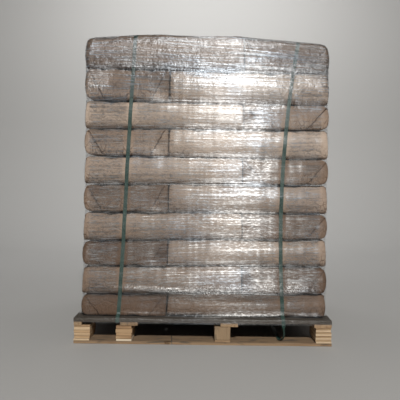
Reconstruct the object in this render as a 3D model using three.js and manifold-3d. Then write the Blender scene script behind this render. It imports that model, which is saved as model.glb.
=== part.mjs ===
// A pallet of paper sacks: forty brick-shaped sacks in ten layers of four, each layer laid as a
// pinwheel round an open middle and each mirrored on the one below, on a four-way wooden pallet,
// held by two plastic straps and wrapped in stretch film.
// Units are millimetres. +Z is up, the front faces -Y, and the origin is on the ground under the middle.
import * as THREE from 'three';
import { mergeVertices } from 'three/addons/utils/BufferGeometryUtils.js';
import Module from 'manifold-3d';

// Pallet
const PALLET_SIDE = 1100;
const BOTTOM_BOARD = { thickness: 12, width: 100 };
const BLOCK = { width: 70, depth: 140, height: 66 };
const BEARER_THICKNESS = 15;
const DECK_BOARD = { thickness: 17, width: 100, count: 7 };
// The rows of blocks as seen from the front, with the bearer that lies on each. The bearers are
// nailed off centre, and the one at the left edge is only a narrow strip.
const COLUMNS = [
  { blockX: -515, bearerX: -533, bearerWidth: 34 },
  { blockX: -336, bearerX: -314, bearerWidth: 75 },
  { blockX: 85, bearerX: 112, bearerWidth: 75 },
  { blockX: 515, bearerX: 512.5, bearerWidth: 75 },
];
const ROWS = { front: -1, middle: 0, back: 1 };
// The front bottom board is two boards that meet at a slanting butt joint.
const BUTT_JOINT = { x: -132, slant: 6, gap: 3 };

// Sacks
const STACK_SIDE = 1054;
const SACK = { length: 672, width: 366, sideBulge: 26, endBulge: 12, cornerRadius: 45 };
const LAYER_HEIGHTS = [100, 120, 114, 116, 123, 116, 121, 112, 137, 146];
const LAYER_GAP = 0.3;
const END_RECESS = 8; // a sack's folded end stands this far behind the sides beside it
const MOST_SHIFT = 4; // how far a sack may sit further in than its neighbours

// Straps and film
const STRAP = { width: 16, thickness: 0.8 };
// How far to the right each strap is at a height. The left one leans, and the right one is bowed.
const STRAP_LEAN = {
  left: (z) => -369 + 0.0515 * z,
  right: (z) => 352 - 0.1 * z + 0.0001 * z * z,
};
const SLACK_DROP_WIDTH = 50; // the slack strap reaches the bottom boards this far behind the deck's edge
const SLACK_DROP_STEPS = 6;
const FILM_THICKNESS = 1;
const CLEARANCE = 0.3;
const FILM_RIM_HEIGHT = 88; // the film covers the deck's edge and ends here, above the fork pockets
const FLARE_HEIGHT = 35; // the film and straps spread from the sacks to the deck's edge in this height
const LIP_WIDTH = 95; // how far the film folds in over the top of the load
const FILM_CORNER = { deck: 2, wall: 50, top: 15 }; // the radius it turns the load's corners with

// How many flat steps a quarter turn of a rounded corner has.
const SACK_CORNER_STEPS = 3;
const FILM_CORNER_STEPS = 4;

const blockBase = BOTTOM_BOARD.thickness;
const bearerBase = blockBase + BLOCK.height;
const deckBase = bearerBase + BEARER_THICKNESS;
const deckTop = deckBase + DECK_BOARD.thickness;
const palletEdge = PALLET_SIDE / 2;
const stackEdge = STACK_SIDE / 2;

const paper = new THREE.MeshStandardMaterial({ color: 0x9c8873, roughness: 0.85, metalness: 0 });
const timber = new THREE.MeshStandardMaterial({ color: 0xb08c62, roughness: 0.8, metalness: 0 });
const strapping = new THREE.MeshStandardMaterial({ color: 0x2f6b5a, roughness: 0.4, metalness: 0 });
const film = new THREE.MeshStandardMaterial({
  color: 0xe4e6e6, roughness: 0.15, metalness: 0, transparent: true, opacity: 0.3,
});

const wasm = await Module();
wasm.setup();

const load = new THREE.Group();

function add(name, geometry, material, position = [0, 0, 0], turn = 0) {
  const mesh = new THREE.Mesh(geometry, material);
  mesh.name = name;
  mesh.position.set(...position);
  mesh.rotation.z = turn;
  load.add(mesh);
}

// A closed mesh as a solid for joining.
function solidOf(geometry) {
  const bare = geometry.clone();
  bare.deleteAttribute('normal');
  bare.deleteAttribute('uv');
  const merged = mergeVertices(bare);
  return new wasm.Manifold(new wasm.Mesh({
    numProp: 3,
    vertProperties: merged.attributes.position.array,
    triVerts: new Uint32Array(merged.index.array),
  }));
}

function geometryOf(solid) {
  const { vertProperties, triVerts } = solid.getMesh();
  const geometry = new THREE.BufferGeometry();
  geometry.setAttribute('position', new THREE.BufferAttribute(vertProperties, 3));
  geometry.setIndex(new THREE.BufferAttribute(triVerts, 1));
  geometry.computeVertexNormals();
  return geometry;
}

// A rectangle with rounded corners at one height, as points that run anticlockwise seen from above.
function roundedOutline(halfX, halfY, radius, height, cornerSteps) {
  const points = [];
  const corners = [[1, 1], [-1, 1], [-1, -1], [1, -1]];
  corners.forEach(([sideX, sideY], quarter) => {
    for (let step = 0; step <= cornerSteps; step += 1) {
      const angle = (quarter + step / cornerSteps) * Math.PI / 2;
      points.push(new THREE.Vector3(
        sideX * (halfX - radius) + radius * Math.cos(angle),
        sideY * (halfY - radius) + radius * Math.sin(angle),
        height,
      ));
    }
  });
  return points;
}

// Skins a row of outlines with equal numbers of points. It caps the first and the last, or, where
// the row runs round a wall and comes back, joins the last to the first.
function loft(outlines, comesBack = false) {
  const size = outlines[0].length;
  const indices = [];
  const bands = comesBack ? outlines.length : outlines.length - 1;
  for (let band = 0; band < bands; band += 1) {
    const low = band * size;
    const high = ((band + 1) % outlines.length) * size;
    for (let i = 0; i < size; i += 1) {
      const next = (i + 1) % size;
      indices.push(low + i, low + next, high + next, low + i, high + next, high + i);
    }
  }
  if (!comesBack) {
    const top = (outlines.length - 1) * size;
    for (let i = 1; i < size - 1; i += 1) {
      indices.push(0, i + 1, i, top, top + i, top + i + 1);
    }
  }
  const geometry = new THREE.BufferGeometry().setFromPoints(outlines.flat());
  geometry.setIndex(indices);
  geometry.computeVertexNormals();
  return geometry;
}

// A line of [distance from the middle, height] points, moved out by a distance square to itself.
function offsetLine(line, distance) {
  const normals = line.slice(1).map(([r, z], i) => {
    const length = Math.hypot(r - line[i][0], z - line[i][1]);
    return [(z - line[i][1]) / length, (line[i][0] - r) / length];
  });
  return line.map(([r, z], i) => {
    const before = normals[Math.max(i - 1, 0)];
    const after = normals[Math.min(i, normals.length - 1)];
    const mitre = distance / (1 + before[0] * after[0] + before[1] * after[1]);
    return [r + (before[0] + after[0]) * mitre, z + (before[1] + after[1]) * mitre];
  });
}

// Pallet

function addBottomBoards() {
  const { thickness, width } = BOTTOM_BOARD;
  const boardY = palletEdge - width / 2;
  const rear = width / 2;
  const near = -width / 2;
  const { x, slant, gap } = BUTT_JOINT;
  const piece = (outline) => new THREE.ExtrudeGeometry(
    new THREE.Shape(outline.map(([px, py]) => new THREE.Vector2(px, py))),
    { depth: thickness, bevelEnabled: false },
  );
  const left = [[-palletEdge, near], [x, near], [x - slant, rear], [-palletEdge, rear]];
  const right = [[x + gap, near], [palletEdge, near], [palletEdge, rear], [x + gap - slant, rear]];
  add('bottom_board_front_left', piece(left), timber, [0, -boardY, 0]);
  add('bottom_board_front_right', piece(right), timber, [0, -boardY, 0]);
  const whole = new THREE.BoxGeometry(PALLET_SIDE, width, thickness);
  add('bottom_board_middle', whole, timber, [0, 0, thickness / 2]);
  add('bottom_board_back', whole, timber, [0, boardY, thickness / 2]);
}

function addBlocks() {
  const geometry = new THREE.BoxGeometry(BLOCK.width, BLOCK.depth, BLOCK.height);
  const rowY = palletEdge - BLOCK.depth / 2;
  Object.entries(ROWS).forEach(([row, side]) => {
    COLUMNS.forEach(({ blockX }, column) => {
      const position = [blockX, side * rowY, blockBase + BLOCK.height / 2];
      add(`block_${row}_${column + 1}`, geometry, timber, position);
    });
  });
}

// The deck boards run across, nailed down on the bearers, which run from front to back.
function addTopDeck() {
  const { thickness, width, count } = DECK_BOARD;
  const pitch = (PALLET_SIDE - width) / (count - 1);
  let deck = null;
  const join = (geometry, x, y, z) => {
    const solid = solidOf(geometry.translate(x, y, z));
    deck = deck ? deck.add(solid) : solid;
  };
  COLUMNS.forEach(({ bearerX, bearerWidth }) => {
    const bearer = new THREE.BoxGeometry(bearerWidth, PALLET_SIDE, BEARER_THICKNESS);
    join(bearer, bearerX, 0, bearerBase + BEARER_THICKNESS / 2);
  });
  for (let i = 0; i < count; i += 1) {
    const board = new THREE.BoxGeometry(PALLET_SIDE, width, thickness);
    join(board, 0, i * pitch - (PALLET_SIDE - width) / 2, deckBase + thickness / 2);
  }
  add('top_deck', geometryOf(deck), timber);
}

// Sacks

// The steps of a sack's edge from its flat bottom to its top, as the share of its height and how
// far the side and the end stand in from their widest.
function sackLevels() {
  const { sideBulge, endBulge } = SACK;
  return [-90, -45, 0, 45, 90].map((degrees) => {
    const angle = THREE.MathUtils.degToRad(degrees);
    const inset = 1 - Math.cos(angle);
    return { rise: (1 + Math.sin(angle)) / 2, side: inset * sideBulge, end: inset * endBulge };
  });
}

// A sack of the top layer has nothing on it, so it is crowned and slopes down to its ends.
function crownedLevels() {
  return [
    ...sackLevels().slice(0, 3),
    { rise: 0.86, side: 8, end: 10 },
    { rise: 1, side: 26, end: 60 },
    { rise: 1.04, side: 50, end: 170 },
    { rise: 1.065, side: 80, end: 240 },
  ];
}

function sackGeometry(height, levels) {
  const { length, width, cornerRadius } = SACK;
  return loft(levels.map(({ rise, side, end }) => roundedOutline(
    length / 2 - end, width / 2 - side, cornerRadius, rise * height, SACK_CORNER_STEPS,
  )));
}

// A share from 0 to 1 that looks random and is the same each time.
function scatter(seed) {
  const wave = Math.sin(seed * 12.9898) * 43758.5453;
  return wave - Math.floor(wave);
}

// Four places round the open middle. Each sack is a quarter turn on from the last, and a mirrored
// layer swaps left and right. The first place is the sack whose end shows at the front.
const PLACES = [
  { name: ['front_left', 'front_right'], turn: 0.25 },
  { name: ['front_right', 'front_left'], turn: 0.5 },
  { name: ['back_right', 'back_left'], turn: 0.75 },
  { name: ['back_left', 'back_right'], turn: 0 },
];

function addSacks() {
  let base = deckTop + LAYER_GAP;
  LAYER_HEIGHTS.forEach((layerHeight, layer) => {
    const isTop = layer === LAYER_HEIGHTS.length - 1;
    const height = layerHeight - LAYER_GAP;
    const geometry = sackGeometry(height, isTop ? crownedLevels() : sackLevels());
    const mirrored = layer % 2;
    const hand = mirrored ? -1 : 1;
    PLACES.forEach(({ name, turn }, place) => {
      const seed = layer * PLACES.length + place + 1;
      const alongShift = END_RECESS + MOST_SHIFT * scatter(seed);
      const acrossShift = MOST_SHIFT / 2 * scatter(seed + 0.5);
      // In the unturned place, the back left one, the sack's outer end faces -X and its outer side +Y.
      const along = -stackEdge + alongShift + SACK.length / 2;
      const across = stackEdge - acrossShift - SACK.width / 2;
      const spot = new THREE.Vector2(along, across)
        .rotateAround(new THREE.Vector2(), turn * 2 * Math.PI);
      const label = String(layer + 1).padStart(2, '0');
      const quarter = turn * 2 * Math.PI;
      add(`sack_${label}_${name[mirrored]}`, geometry, paper, [hand * spot.x, spot.y, base], quarter);
    });
    base += layerHeight;
  });
}

// Straps and film

const topBase = deckTop + LAYER_HEIGHTS.slice(0, -1).reduce((sum, height) => sum + height, 0);
const topHeight = LAYER_HEIGHTS.at(-1);

// The line that anything wound round the load lies on, from the deck's upper edge to the top, as
// [distance from the middle, height].
function windingLine() {
  const crown = crownedLevels().slice(2).map(({ rise, side }) => [
    stackEdge + CLEARANCE - side, topBase + rise * topHeight + CLEARANCE,
  ]);
  return [
    [palletEdge + CLEARANCE, deckTop + CLEARANCE],
    [stackEdge + CLEARANCE, deckTop + FLARE_HEIGHT],
    ...crown,
  ];
}

// One half of a strap, from the middle of the pallet out under the deck and up to the top.
function strapHalf(underside) {
  return [...underside, ...windingLine()];
}

// Under the deck the left strap is tight against the boards.
function tightUnderside() {
  const height = deckBase - CLEARANCE;
  return [[0, height], [palletEdge + CLEARANCE, height]];
}

// The right strap is slack: it drops from the deck's edge and lies on the bottom boards.
function slackUnderside() {
  const low = BOTTOM_BOARD.thickness + CLEARANCE + STRAP.thickness;
  const drop = deckBase - low;
  const edge = palletEdge + CLEARANCE;
  const hanging = Array.from({ length: SLACK_DROP_STEPS + 1 }, (_, i) => {
    const angle = (i / SLACK_DROP_STEPS) * Math.PI / 2;
    return [edge - SLACK_DROP_WIDTH * (1 - Math.sin(angle)), low + drop * (1 - Math.cos(angle))];
  });
  return [[0, low], ...hanging];
}

// A strap is a closed band round the load, leaning sideways as its height goes up.
function strapGeometry(underside, leanX) {
  const outline = (distance) => {
    const half = offsetLine(strapHalf(underside), distance);
    const far = half.map(([r, z]) => new THREE.Vector2(r, z));
    const near = half.slice().reverse().map(([r, z]) => new THREE.Vector2(-r, z));
    return [...far, ...near.slice(0, -1)];
  };
  const band = new THREE.Shape(outline(STRAP.thickness));
  band.holes.push(new THREE.Path(outline(0)));
  const geometry = new THREE.ExtrudeGeometry(band, { depth: STRAP.width, bevelEnabled: false });
  // The band is drawn with the way through the load across the page: stand it up facing +X.
  geometry.rotateX(Math.PI / 2).rotateZ(Math.PI / 2);
  const points = geometry.attributes.position;
  for (let i = 0; i < points.count; i += 1) {
    points.setX(i, points.getX(i) - STRAP.width / 2 + leanX(points.getZ(i)));
  }
  return geometry;
}

function addStraps() {
  add('strap_left', strapGeometry(tightUnderside(), STRAP_LEAN.left), strapping);
  add('strap_right', strapGeometry(slackUnderside(), STRAP_LEAN.right), strapping);
}

// The film is a thin wall that covers the deck's edge, climbs the sacks over the straps and folds
// in over the top edge.
function filmGeometry() {
  const line = windingLine();
  const [lipEnd, lipHeight] = [stackEdge - LIP_WIDTH, line.at(-1)[1]];
  const profile = [[line[0][0], FILM_RIM_HEIGHT], ...line, [lipEnd, lipHeight]];
  const radii = profile.map(([r, z]) => {
    if (r > stackEdge + 1) return FILM_CORNER.deck;
    return z > topBase + 0.9 * topHeight ? FILM_CORNER.top : FILM_CORNER.wall;
  });
  const wall = (distance) => offsetLine(profile, distance).map(([half, z], i) => (
    roundedOutline(half, half, radii[i] + distance, z, FILM_CORNER_STEPS)
  ));
  const inner = CLEARANCE + STRAP.thickness;
  return loft([...wall(inner + FILM_THICKNESS), ...wall(inner).reverse()], true);
}

addBottomBoards();
addBlocks();
addTopDeck();
addSacks();
addStraps();
add('stretch_film', filmGeometry(), film);

export default load;
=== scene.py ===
"""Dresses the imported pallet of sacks: kraft paper, stretch film, plastic straps and rough timber.

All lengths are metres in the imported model's frame: +Z up, the front facing -Y, the origin on the
floor under the middle of the pallet.
"""
import logging
import math
from collections.abc import Callable, Iterable, Sequence
from dataclasses import dataclass, field
from enum import Enum

import bmesh
import bpy
import numpy as np
from bmesh.types import BMesh, BMFace, BMVert
from bpy.types import Material, Mesh, NodeSocket, Object, ShaderNode
from mathutils import Matrix, Vector
from mathutils.bvhtree import BVHTree
from mathutils.kdtree import KDTree


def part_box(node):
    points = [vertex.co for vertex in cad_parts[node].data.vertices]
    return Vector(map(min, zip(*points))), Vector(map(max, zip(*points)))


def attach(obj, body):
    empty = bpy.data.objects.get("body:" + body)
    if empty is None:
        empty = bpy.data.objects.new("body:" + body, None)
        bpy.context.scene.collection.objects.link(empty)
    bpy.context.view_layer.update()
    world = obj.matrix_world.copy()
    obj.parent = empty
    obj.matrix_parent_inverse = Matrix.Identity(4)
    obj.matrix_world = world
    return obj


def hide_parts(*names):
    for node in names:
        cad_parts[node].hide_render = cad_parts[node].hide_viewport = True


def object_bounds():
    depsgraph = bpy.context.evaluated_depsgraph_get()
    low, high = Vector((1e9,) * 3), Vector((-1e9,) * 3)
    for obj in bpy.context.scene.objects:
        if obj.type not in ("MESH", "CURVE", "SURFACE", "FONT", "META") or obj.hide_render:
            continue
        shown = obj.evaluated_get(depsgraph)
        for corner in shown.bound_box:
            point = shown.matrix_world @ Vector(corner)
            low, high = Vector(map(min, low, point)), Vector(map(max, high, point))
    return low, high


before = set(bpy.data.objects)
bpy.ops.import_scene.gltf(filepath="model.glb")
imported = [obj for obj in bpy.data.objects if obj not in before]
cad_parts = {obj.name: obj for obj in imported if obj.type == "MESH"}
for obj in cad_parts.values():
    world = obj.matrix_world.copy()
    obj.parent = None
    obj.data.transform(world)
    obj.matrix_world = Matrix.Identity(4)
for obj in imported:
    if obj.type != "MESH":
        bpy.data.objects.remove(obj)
cad_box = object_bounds()
log = logging.getLogger("pallet_of_sacks")

Triple = tuple[float, float, float]
Line = Sequence[tuple[float, float]]


class Slot(Enum):
    """The record's material slots."""

    PAPER = "kraft_paper"
    TIMBER = "timber"
    STRAPPING = "green_strapping"
    FILM = "stretch_film"


class Grain(Enum):
    """The way a timber piece's grain runs: the axes in order, its own way first."""

    ACROSS = (0, 1, 2)
    DEPTH = (1, 0, 2)
    UPRIGHT = (2, 0, 1)


# Shader building


class Sock:
    """A shader value that takes part in Python expressions, each adding its Math node."""

    def __init__(self, recipe: "Recipe", socket: NodeSocket) -> None:
        """Wraps a socket of a recipe's tree."""
        self.recipe = recipe
        self.socket = socket

    def _math(self, operation: str, *values: "Sock | float") -> "Sock":
        """Adds a Math node and returns its result."""
        return self.recipe.node("ShaderNodeMath", {"operation": operation}, dict(enumerate(values)))

    def __add__(self, other: "Sock | float") -> "Sock":
        """self + other"""
        return self._math("ADD", self, other)

    def __sub__(self, other: "Sock | float") -> "Sock":
        """self - other"""
        return self._math("SUBTRACT", self, other)

    def __rsub__(self, other: float) -> "Sock":
        """other - self"""
        return self._math("SUBTRACT", other, self)

    def __mul__(self, other: "Sock | float") -> "Sock":
        """self * other"""
        return self._math("MULTIPLY", self, other)

    __radd__ = __add__

    def band(self, low: float, high: float) -> "Sock":
        """Maps low to 0 and high to 1 with a smooth, clamped step."""
        inputs = {0: self, 1: low, 2: high, 3: 0.0, 4: 1.0}
        return self.recipe.node("ShaderNodeMapRange", {"interpolation_type": "SMOOTHSTEP"}, inputs)

    def limit(self, low: float, high: float) -> "Sock":
        """Clamps the value."""
        return self.recipe.node("ShaderNodeClamp", {}, {0: self, 1: low, 2: high})


class Recipe:
    """A material's node tree round one Principled shader."""

    def __init__(self, name: str) -> None:
        """Starts an empty material.

        Args:
            name: the material's name.
        """
        self.material: Material = bpy.data.materials.new(name)
        self.material.use_nodes = True
        self.tree = self.material.node_tree
        self.tree.nodes.clear()
        self.shader = self.tree.nodes.new("ShaderNodeBsdfPrincipled")
        output = self.tree.nodes.new("ShaderNodeOutputMaterial")
        self.tree.links.new(self.shader.outputs[0], output.inputs["Surface"])

    def node(self, kind: str, settings: dict, inputs: dict, output: int | str = 0) -> Sock:
        """Adds a node.

        Args:
            kind: the node's type.
            settings: its own settings, made first; "stops" are a colour ramp's.
            inputs: values or links by socket name or index.
            output: the socket to return.

        Returns:
            The chosen output, ready for expressions.
        """
        made: ShaderNode = self.tree.nodes.new(kind)
        for key, value in settings.items():
            if key == "stops":
                self._stops(made, value)
            else:
                setattr(made, key, value)
        for key, value in inputs.items():
            self._feed(made.inputs[key], value)
        return Sock(self, made.outputs[output])

    def _feed(self, socket: NodeSocket, value: Sock | float | tuple) -> None:
        """Links or sets a socket.

        Args:
            socket: the input.
            value: what goes into it.
        """
        if isinstance(value, Sock):
            self.tree.links.new(value.socket, socket)
        else:
            socket.default_value = value

    @staticmethod
    def _stops(ramp: ShaderNode, stops: Sequence[tuple[float, Triple]]) -> None:
        """Sets a colour ramp's stops.

        Args:
            ramp: the ramp's node.
            stops: places from 0 to 1 with their colours.
        """
        elements = ramp.color_ramp.elements
        while len(elements) < len(stops):
            elements.new(0.5)
        for element, (place, colour) in zip(elements, stops):
            element.position = place
            element.color = (*colour, 1.0)

    def attribute(self, name: str, output: str = "Fac") -> Sock:
        """A mesh attribute of the piece."""
        return self.node("ShaderNodeAttribute", {"attribute_name": name}, {}, output)

    def uv_map(self, name: str) -> Sock:
        """A UV map of the piece."""
        return self.node("ShaderNodeUVMap", {"uv_map": name}, {})

    def object_coords(self) -> Sock:
        """Object coordinates, in metres."""
        return self.node("ShaderNodeTexCoord", {}, {}, "Object")

    def stretched(self, vector: Sock, scale: Triple, turn: float = 0.0) -> Sock:
        """Scales coordinates and turns them about Z."""
        inputs = {"Vector": vector, "Scale": scale, "Rotation": (0.0, 0.0, turn)}
        return self.node("ShaderNodeMapping", {}, inputs)

    def nudged(self, vector: Sock, amount: Sock) -> Sock:
        """Coordinates moved by the same amount along every axis."""
        return self.node("ShaderNodeVectorMath", {"operation": "ADD"}, {0: vector, 1: amount})

    def noise(self, vector: Sock, scale: float | Triple, detail: float = 3.0, rough: float = 0.5,
              twist: float = 0.0) -> Sock:
        """Noise from 0 to 1.

        Args:
            vector: the coordinates.
            scale: how fine it is, as one number or one for each axis.
            detail: how many octaves it has.
            rough: how strong the finer ones are.
            twist: how much it is distorted.

        Returns:
            The value.
        """
        if isinstance(scale, tuple):
            vector = self.stretched(vector, scale)
            scale = 1.0
        octaves = {"Detail": detail, "Roughness": rough, "Distortion": twist}
        return self.node("ShaderNodeTexNoise", {}, {"Vector": vector, "Scale": scale, **octaves})

    def creases(self, vector: Sock, scale: float) -> Sock:
        """Distance to the edges of cells, for crumpled paper."""
        settings = {"feature": "DISTANCE_TO_EDGE"}
        return self.node("ShaderNodeTexVoronoi", settings, {"Vector": vector, "Scale": scale})

    def mix(self, factor: Sock, first: Sock | Triple, second: Sock | Triple, blend: str = "MIX") -> Sock:
        """Mixes two colours.

        Args:
            factor: the second colour's share.
            first: a colour.
            second: another.
            blend: how they mix.

        Returns:
            The mixed colour.
        """
        colours = [value if isinstance(value, Sock) else (*value, 1.0) for value in (first, second)]
        settings = {"data_type": "RGBA", "blend_type": blend}
        return self.node("ShaderNodeMix", settings, {0: factor, 6: colours[0], 7: colours[1]}, 2)

    def bump(self, height: Sock, distance: float) -> Sock:
        """A bumped normal."""
        return self.node("ShaderNodeBump", {}, {"Height": height, "Distance": distance, "Strength": 1.0})

    def set(self, **values: Sock | float | Triple) -> Material:
        """Sets the shader's sockets, named with underscores for spaces, and returns the material."""
        for key, value in values.items():
            plain = (*value, 1.0) if isinstance(value, tuple) else value
            self._feed(self.shader.inputs[key.replace("_", " ")], plain)
        return self.material


# Finishes


@dataclass(frozen=True)
class KraftPaper:
    """Brown sack paper, creased by handling and dusty."""

    dark: Triple = (0.117, 0.069, 0.042)
    middle: Triple = (0.260, 0.182, 0.130)
    pale: Triple = (0.555, 0.440, 0.352)
    crumple: float = 0.0016

    def material(self) -> Material:
        """Builds the material, which reads a sack's tone, fold and belly attributes. The tone holds painted
        shade, and the colour is darkened as painted shade along the fold lines and in the wrinkle creases
        low near the ends.
        """
        recipe = Recipe("kraft_paper")
        where = recipe.object_coords()
        tone, fold, belly = (recipe.attribute(name) for name in ("tone", "fold", "belly"))
        clouds = recipe.noise(where, 5.0, 4.0, 0.6, 0.3)
        smudge = recipe.noise(where, 22.0, 5.0, 0.65)
        fibre = recipe.noise(recipe.stretched(where, (1.0, 1.0, 2.5)), 420.0, 2.0, 0.7)
        bent = recipe.nudged(recipe.stretched(where, (1.0, 1.0, 0.5)), recipe.noise(where, 24.0, 2.0) * 0.03)
        wrinkle = (1.0 - recipe.creases(bent, 46.0).band(0.01, 0.09)) * smudge.band(0.42, 0.60) * belly
        shade = tone * 0.75 + clouds * 0.34 + smudge * 0.22 + fibre * 0.10
        # fold and wrinkle darken the colour as painted shade, along the flaps' fold lines and in the wrinkle
        # creases
        shade = shade - fold * 0.62 - wrinkle * 0.55 - 0.19
        stops = ((0.12, self.dark), (0.5, self.middle), (0.92, self.pale))
        colour = recipe.node("ShaderNodeValToRGB", {"stops": stops}, {0: shade})
        bowed = recipe.nudged(where, recipe.noise(where, 9.0, 2.0) * 0.05)
        wide = recipe.creases(bowed, 17.0).band(0.0, 0.09)
        fine = recipe.creases(recipe.stretched(where, (1.0, 1.0, 1.7)), 60.0).band(0.0, 0.12)
        pleats = recipe.noise(where, (75.0, 75.0, 16.0), 3.0, 0.6, 0.6)
        relief = wide * 0.7 + fine * 0.25 + smudge * 0.8 + fibre * 0.06 + pleats * belly * 5.0
        normal = recipe.bump(relief, self.crumple)
        rough = 0.62 + clouds * 0.28
        return recipe.set(Base_Color=colour, Roughness=rough, Normal=normal, Specular_IOR_Level=0.35)


@dataclass(frozen=True)
class SawnTimber:
    """Cheap sawn pallet wood, from cream to orange brown, greyed on its old faces."""

    cream: Triple = (0.640, 0.470, 0.285)
    orange: Triple = (0.400, 0.222, 0.105)
    grey: Triple = (0.080, 0.068, 0.054)
    bleached: Triple = (0.740, 0.650, 0.510)
    near_black: Triple = (0.020, 0.018, 0.015)
    resin: Triple = (0.085, 0.045, 0.018)
    knot: Triple = (-0.151, -0.545, 0.011)
    knot_radius: float = 0.016
    relief_depth: float = 0.0011

    def material(self) -> Material:
        """Builds the material, which reads the grain, tone and warmth attributes."""
        recipe = Recipe("sawn_timber")
        where = recipe.object_coords()
        grain = recipe.attribute("grain", "Vector")
        tone, warmth = (recipe.attribute(name) for name in ("tone", "warmth"))
        drift = recipe.noise(grain, (2.0, 9.0, 9.0), 2.0)
        drawn = recipe.nudged(recipe.stretched(grain, (6.0, 110.0, 110.0)), drift * 2.5)
        rings = recipe.noise(drawn, 1.0, 4.0, 0.62)
        saw = recipe.noise(grain, (260.0, 14.0, 14.0), 1.0)
        pores = recipe.noise(grain, (45.0, 900.0, 900.0), 2.0)
        stain = recipe.noise(grain, (14.0, 60.0, 60.0), 3.0, 0.6).band(0.52, 0.66)
        colour = recipe.mix(warmth * 0.75 + drift * 0.3, self.cream, self.orange)
        colour = recipe.mix(rings.band(0.42, 0.72) * 0.55, colour, self.orange, "MULTIPLY")
        # a low tone greys the wood; a tone below nothing, as on the deck boards, turns it towards near black
        grey_share = (1.05 - tone) * (1.0 + stain * 0.6) + (drift - 0.5) * 0.5
        colour = recipe.mix(grey_share.limit(0.0, 1.25) * 0.72, colour, self.grey)
        colour = recipe.mix(((tone - 1.10) * 1.5).limit(0.0, 0.8), colour, self.bleached)
        colour = recipe.mix((tone * -1.3).limit(0.0, 0.75), colour, self.near_black)
        colour = recipe.mix(pores.band(0.6, 0.85) * 0.35, colour, self.grey)
        inputs = {0: where, 1: self.knot}
        away = recipe.node("ShaderNodeVectorMath", {"operation": "DISTANCE"}, inputs, "Value")
        swirl = recipe.noise(where, 170.0, 2.0).band(0.42, 0.58)
        knotted = (1.0 - away * (1.0 / self.knot_radius)).band(0.0, 0.3) * (0.35 + swirl * 0.6)
        colour = recipe.mix(knotted, colour, self.resin)
        normal = recipe.bump(rings * 0.7 + saw * 0.35 + pores * 0.25, self.relief_depth)
        return recipe.set(
            Base_Color=colour, Roughness=0.70 + pores * 0.2, Normal=normal, Specular_IOR_Level=0.3
        )


@dataclass(frozen=True)
class EmbossedStrapping:
    """Green polyester strapping, rolled with a fine diamond pattern."""

    green: Triple = (0.014, 0.048, 0.037)
    dusty: Triple = (0.055, 0.096, 0.082)
    diamonds_per_metre: float = 420.0
    relief_depth: float = 0.00025

    def material(self) -> Material:
        """Builds the material, which reads the strap's own length and width as a UV map."""
        recipe = Recipe("green_strapping")
        along = recipe.uv_map("strap")
        turned = recipe.stretched(along, (1.0, 1.0, 1.0), math.pi / 4)
        inputs = {"Vector": turned, "Scale": self.diamonds_per_metre}
        diamonds = recipe.node("ShaderNodeTexChecker", {}, inputs, 1)
        dust = recipe.noise(recipe.object_coords(), 14.0, 4.0, 0.6)
        scratch = recipe.noise(along, (6.0, 500.0, 1.0), 2.0)
        colour = recipe.mix(dust.band(0.35, 0.75) * 0.55 + scratch * 0.12, self.green, self.dusty)
        normal = recipe.bump(diamonds * 0.7 + scratch * 0.5, self.relief_depth)
        return recipe.set(Base_Color=colour, Roughness=0.30 + dust * 0.25, Normal=normal)


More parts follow.
